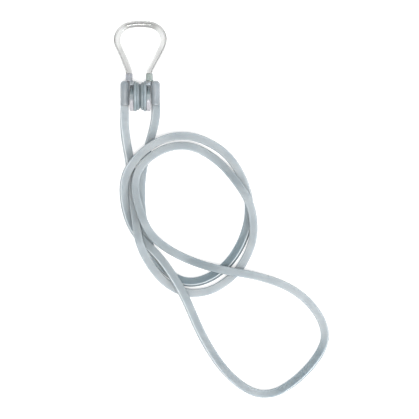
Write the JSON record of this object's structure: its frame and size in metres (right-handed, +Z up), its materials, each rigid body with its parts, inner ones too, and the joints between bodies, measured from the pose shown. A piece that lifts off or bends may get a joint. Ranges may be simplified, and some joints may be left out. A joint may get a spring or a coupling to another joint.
{
  "type": "swimmer's nose clip",
  "caption": "Clear sprung bow that presses two ribbed silicone pads together on the nose, on a closed loop of neck cord that lies in loose turns beside it.",
  "frame": {"origin": "under the middle of the clip, on the surface that it lies on", "axes": "+Z up from that surface, +Y from the pads towards the crown of the bow, +X towards the right arm, as seen from above with the crown away from the viewer"},
  "size_m": [0.086, 0.1507, 0.0122],
  "materials": {
    "clear_plastic": "clear, smooth, glossy moulded plastic",
    "pad_silicone": "translucent blue-grey silicone, satin",
    "sleeve_silicone": "thin translucent grey silicone, satin",
    "socket_silicone": "translucent blue-grey silicone, satin",
    "cord_silicone": "frosted translucent blue-grey silicone, satin"
  },
  "bodies": {
    "left_half": {"bow_left_arm": "clear_plastic", "left_pad": "pad_silicone", "left_leg_sleeve": "sleeve_silicone", "left_cord_socket": "socket_silicone", "cord_left_run": "cord_silicone", "cord_inner_turn": "cord_silicone", "cord_end_loop": "cord_silicone", "cord_outer_turn": "cord_silicone", "cord_right_run": "cord_silicone"},
    "right_half": {"bow_right_arm": "clear_plastic", "right_pad": "pad_silicone", "right_leg_sleeve": "sleeve_silicone", "right_cord_socket": "socket_silicone", "cord_right_lead": "cord_silicone"}
  },
  "joints": [
    {"name": "bow_opening", "type": "hinge", "parent": "left_half", "child": "right_half", "pos_m": [0, 0.01818, 0.00109], "axis": [0, 0.1633, 0.9866], "range_deg": [0, 22], "stiffness_Nm_per_rad": 0.12, "springref_deg": -8.59, "deforming": ["cord_right_lead"]}
  ]
}
